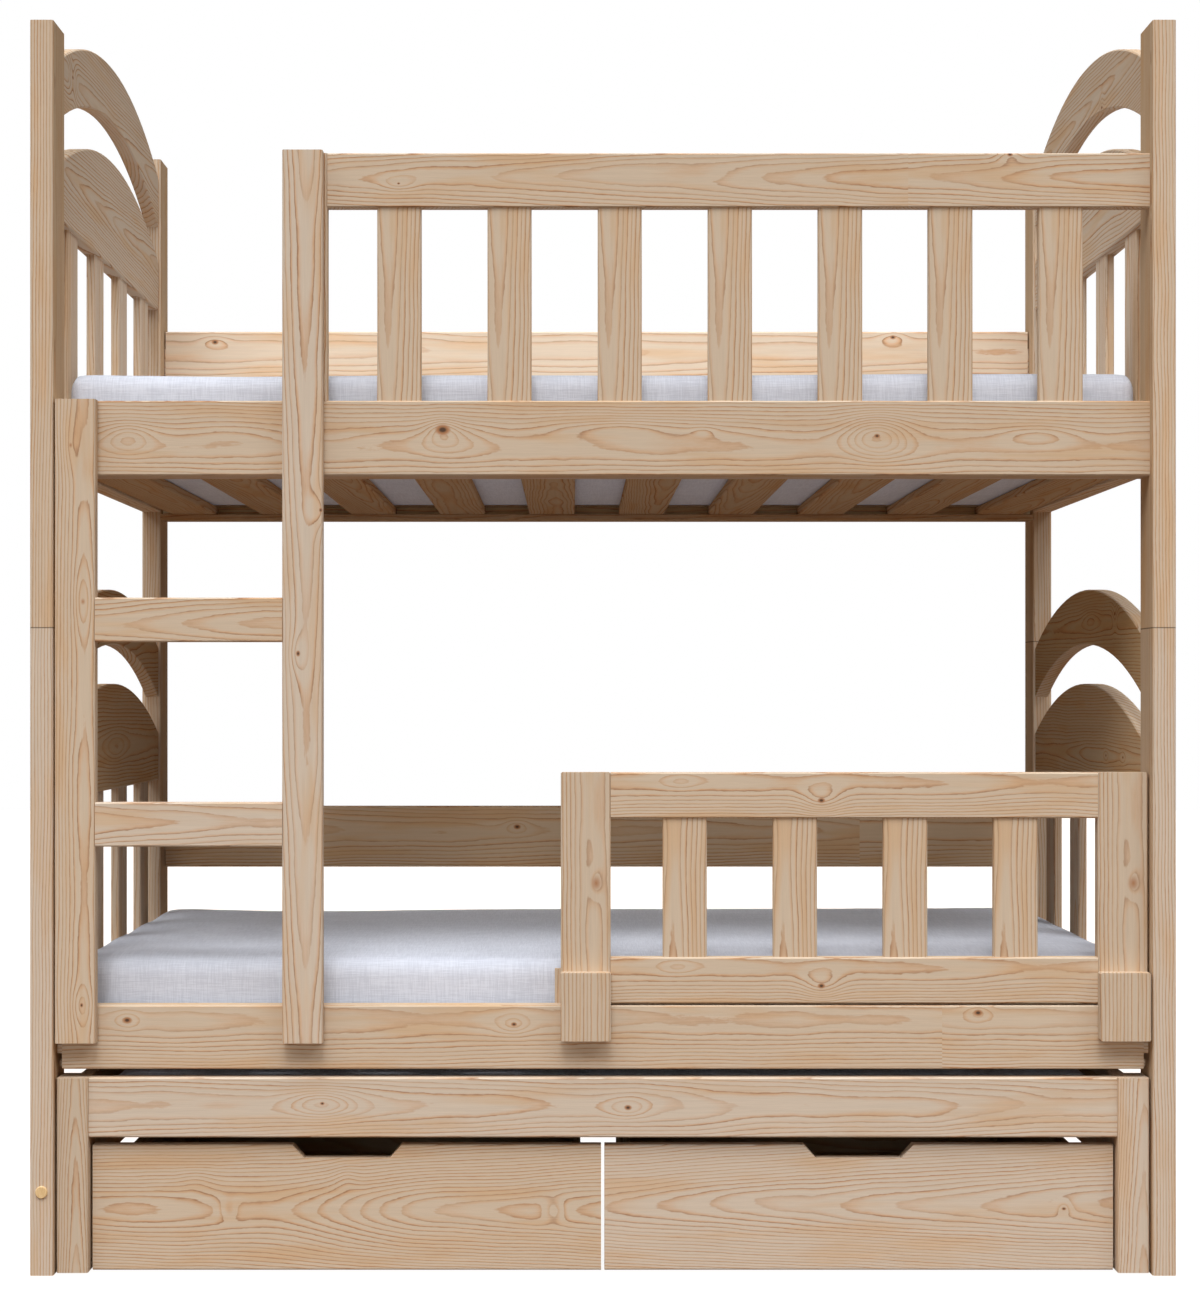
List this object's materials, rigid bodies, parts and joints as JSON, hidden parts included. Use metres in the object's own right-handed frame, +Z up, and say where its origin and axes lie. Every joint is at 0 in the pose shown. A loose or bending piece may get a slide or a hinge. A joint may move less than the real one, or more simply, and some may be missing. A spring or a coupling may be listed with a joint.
{
  "type": "triple bunk bed",
  "caption": "Pine bunk bed with arched ends, ladder, slatted guards, a lift-off lower guard, a roll-out bed and rolling drawers beneath it.",
  "frame": {"origin": "middle of the footprint, on the floor", "axes": "+Z up, -Y to the front with the ladder, +X to the right seen from the front"},
  "size_m": [1.68, 0.8834, 1.8945],
  "materials": {
    "pine": "planed, clear matt",
    "pine_inner": "planed, bare",
    "linen": "woven cover",
    "plug": "turned, clear matt",
    "wheel_grey": "moulded"
  },
  "bodies": {
    "bed_frame": {"lower_post_front_left": "pine", "lower_post_front_right": "pine", "lower_post_back_left": "pine", "lower_post_back_right": "pine", "upper_post_front_left": "pine", "upper_post_front_right": "pine", "upper_post_back_left": "pine", "upper_post_back_right": "pine", "bolt_cover_cap": "plug", "lower_end_grid_left": "pine", "lower_end_panel_left": "pine", "lower_arch_left": "pine", "lower_end_grid_right": "pine", "lower_end_panel_right": "pine", "lower_arch_right": "pine", "upper_end_grid_left": "pine", "upper_end_panel_left": "pine", "upper_arch_left": "pine", "upper_end_grid_right": "pine", "upper_end_panel_right": "pine", "upper_arch_right": "pine", "upper_front_rail": "pine", "upper_back_rail": "pine_inner", "lower_front_rail": "pine", "lower_back_rail": "pine_inner", "lower_back_board": "pine", "upper_safety_board": "pine", "upper_slat_base": "pine_inner", "lower_slat_base": "pine_inner", "upper_mattress": "linen", "lower_mattress": "linen", "ladder_stile_left": "pine", "ladder_stile_right": "pine", "ladder_rung_1": "pine", "ladder_rung_2": "pine", "guard_end_stile": "pine", "guard_top_rail": "pine"},
    "lower_guard": {"lower_guard_stile_left": "pine", "lower_guard_stile_right": "pine", "lower_guard_bottom_rail": "pine", "lower_guard_top_rail": "pine"},
    "trundle": {"trundle_end_left": "pine", "trundle_end_right": "pine", "trundle_front_rail": "pine", "trundle_back_rail": "pine_inner", "trundle_slat_base": "pine_inner", "trundle_mattress": "linen"},
    "trundle_wheel_front_left": {"trundle_wheel_front_left": "wheel_grey"},
    "trundle_wheel_front_right": {"trundle_wheel_front_right": "wheel_grey"},
    "trundle_wheel_back_left": {"trundle_wheel_back_left": "wheel_grey"},
    "trundle_wheel_back_right": {"trundle_wheel_back_right": "wheel_grey"},
    "left_drawer": {"left_drawer_front": "pine", "left_drawer_box": "pine_inner"},
    "left_drawer_front_wheels": {"left_drawer_front_wheels": "wheel_grey"},
    "left_drawer_rear_wheels": {"left_drawer_rear_wheels": "wheel_grey"},
    "right_drawer": {"right_drawer_front": "pine", "right_drawer_box": "pine_inner"},
    "right_drawer_front_wheels": {"right_drawer_front_wheels": "wheel_grey"},
    "right_drawer_rear_wheels": {"right_drawer_rear_wheels": "wheel_grey"}
  },
  "joints": [
    {"name": "trundle_roll_out", "type": "slide", "parent": "bed_frame", "child": "trundle", "axis": [0, -1, 0], "range_m": [0, 0.7]},
    {"name": "left_drawer_roll_out", "type": "slide", "parent": "bed_frame", "child": "left_drawer", "axis": [0, -1, 0], "range_m": [0, 0.6]},
    {"name": "right_drawer_roll_out", "type": "slide", "parent": "bed_frame", "child": "right_drawer", "axis": [0, -1, 0], "range_m": [0, 0.6]},
    {"name": "lower_guard_lift", "type": "slide", "parent": "bed_frame", "child": "lower_guard", "axis": [0, 0, 1], "range_m": [0, 0.12]},
    {"name": "trundle_wheel_front_left_spin", "type": "hinge", "parent": "trundle", "child": "trundle_wheel_front_left", "pos_m": [-0.78, -0.40735, 0.016], "axis": [1, 0, 0], "range_deg": [0, 2507]},
    {"name": "trundle_wheel_front_right_spin", "type": "hinge", "parent": "trundle", "child": "trundle_wheel_front_right", "pos_m": [0.78, -0.40735, 0.016], "axis": [1, 0, 0], "range_deg": [0, 2507]},
    {"name": "trundle_wheel_back_left_spin", "type": "hinge", "parent": "trundle", "child": "trundle_wheel_back_left", "pos_m": [-0.78, 0.38665, 0.016], "axis": [1, 0, 0], "range_deg": [0, 2507]},
    {"name": "trundle_wheel_back_right_spin", "type": "hinge", "parent": "trundle", "child": "trundle_wheel_back_right", "pos_m": [0.78, 0.38665, 0.016], "axis": [1, 0, 0], "range_deg": [0, 2507]},
    {"name": "left_drawer_front_wheels_spin", "type": "hinge", "parent": "left_drawer", "child": "left_drawer_front_wheels", "pos_m": [-0.378, -0.32435, 0.022], "axis": [1, 0, 0], "range_deg": [0, 1563]},
    {"name": "left_drawer_rear_wheels_spin", "type": "hinge", "parent": "left_drawer", "child": "left_drawer_rear_wheels", "pos_m": [-0.378, 0.17565, 0.022], "axis": [1, 0, 0], "range_deg": [0, 1563]},
    {"name": "right_drawer_front_wheels_spin", "type": "hinge", "parent": "right_drawer", "child": "right_drawer_front_wheels", "pos_m": [0.378, -0.32435, 0.022], "axis": [1, 0, 0], "range_deg": [0, 1563]},
    {"name": "right_drawer_rear_wheels_spin", "type": "hinge", "parent": "right_drawer", "child": "right_drawer_rear_wheels", "pos_m": [0.378, 0.17565, 0.022], "axis": [1, 0, 0], "range_deg": [0, 1563]}
  ],
  "couplings": [
    {"joint": "trundle_wheel_front_left_spin", "follows": "trundle_roll_out", "rad_per_m": 62.5},
    {"joint": "trundle_wheel_front_right_spin", "follows": "trundle_roll_out", "rad_per_m": 62.5},
    {"joint": "trundle_wheel_back_left_spin", "follows": "trundle_roll_out", "rad_per_m": 62.5},
    {"joint": "trundle_wheel_back_right_spin", "follows": "trundle_roll_out", "rad_per_m": 62.5},
    {"joint": "left_drawer_front_wheels_spin", "follows": "left_drawer_roll_out", "rad_per_m": 45.45},
    {"joint": "left_drawer_rear_wheels_spin", "follows": "left_drawer_roll_out", "rad_per_m": 45.45},
    {"joint": "right_drawer_front_wheels_spin", "follows": "right_drawer_roll_out", "rad_per_m": 45.45},
    {"joint": "right_drawer_rear_wheels_spin", "follows": "right_drawer_roll_out", "rad_per_m": 45.45}
  ]
}
